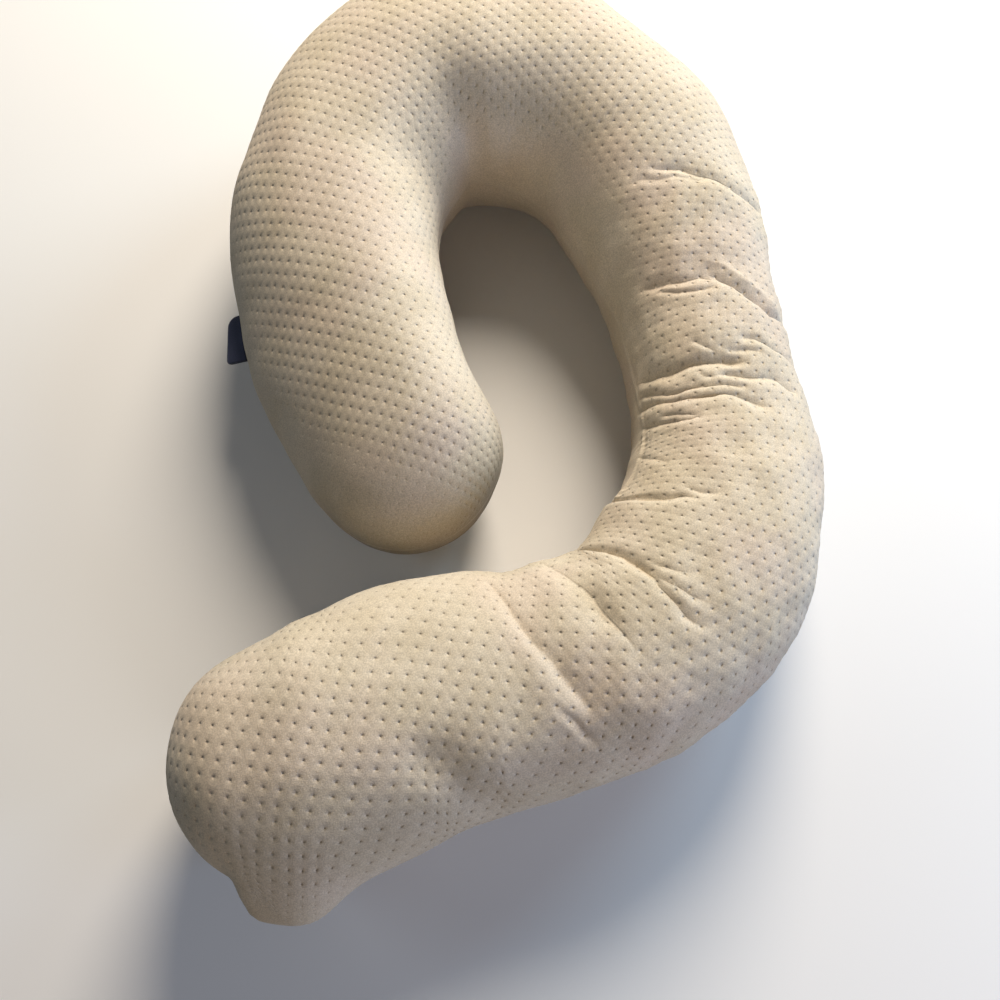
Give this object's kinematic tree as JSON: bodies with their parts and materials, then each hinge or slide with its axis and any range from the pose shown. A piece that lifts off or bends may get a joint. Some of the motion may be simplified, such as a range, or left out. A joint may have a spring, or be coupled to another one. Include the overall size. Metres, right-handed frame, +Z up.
{
  "type": "body pillow",
  "caption": "Long stuffed body pillow bent into an open hook, in a dimpled jersey cover with a seam round its sides and a small folded ribbon tab.",
  "frame": {"origin": "middle of the bounding box, on the surface that the pillow lies on", "axes": "+Y from the foot towards the bend of the hook, +Z up from the flat underside, +X towards the folded arm"},
  "size_m": [0.5005, 0.8296, 0.1879],
  "materials": {
    "dimpled_jersey": "matte cream jersey with pressed dimples",
    "navy_ribbon": "woven dark blue ribbon"
  },
  "bodies": {
    "root": {"pillow": "dimpled_jersey", "side_label": "navy_ribbon"}
  },
  "joints": []
}
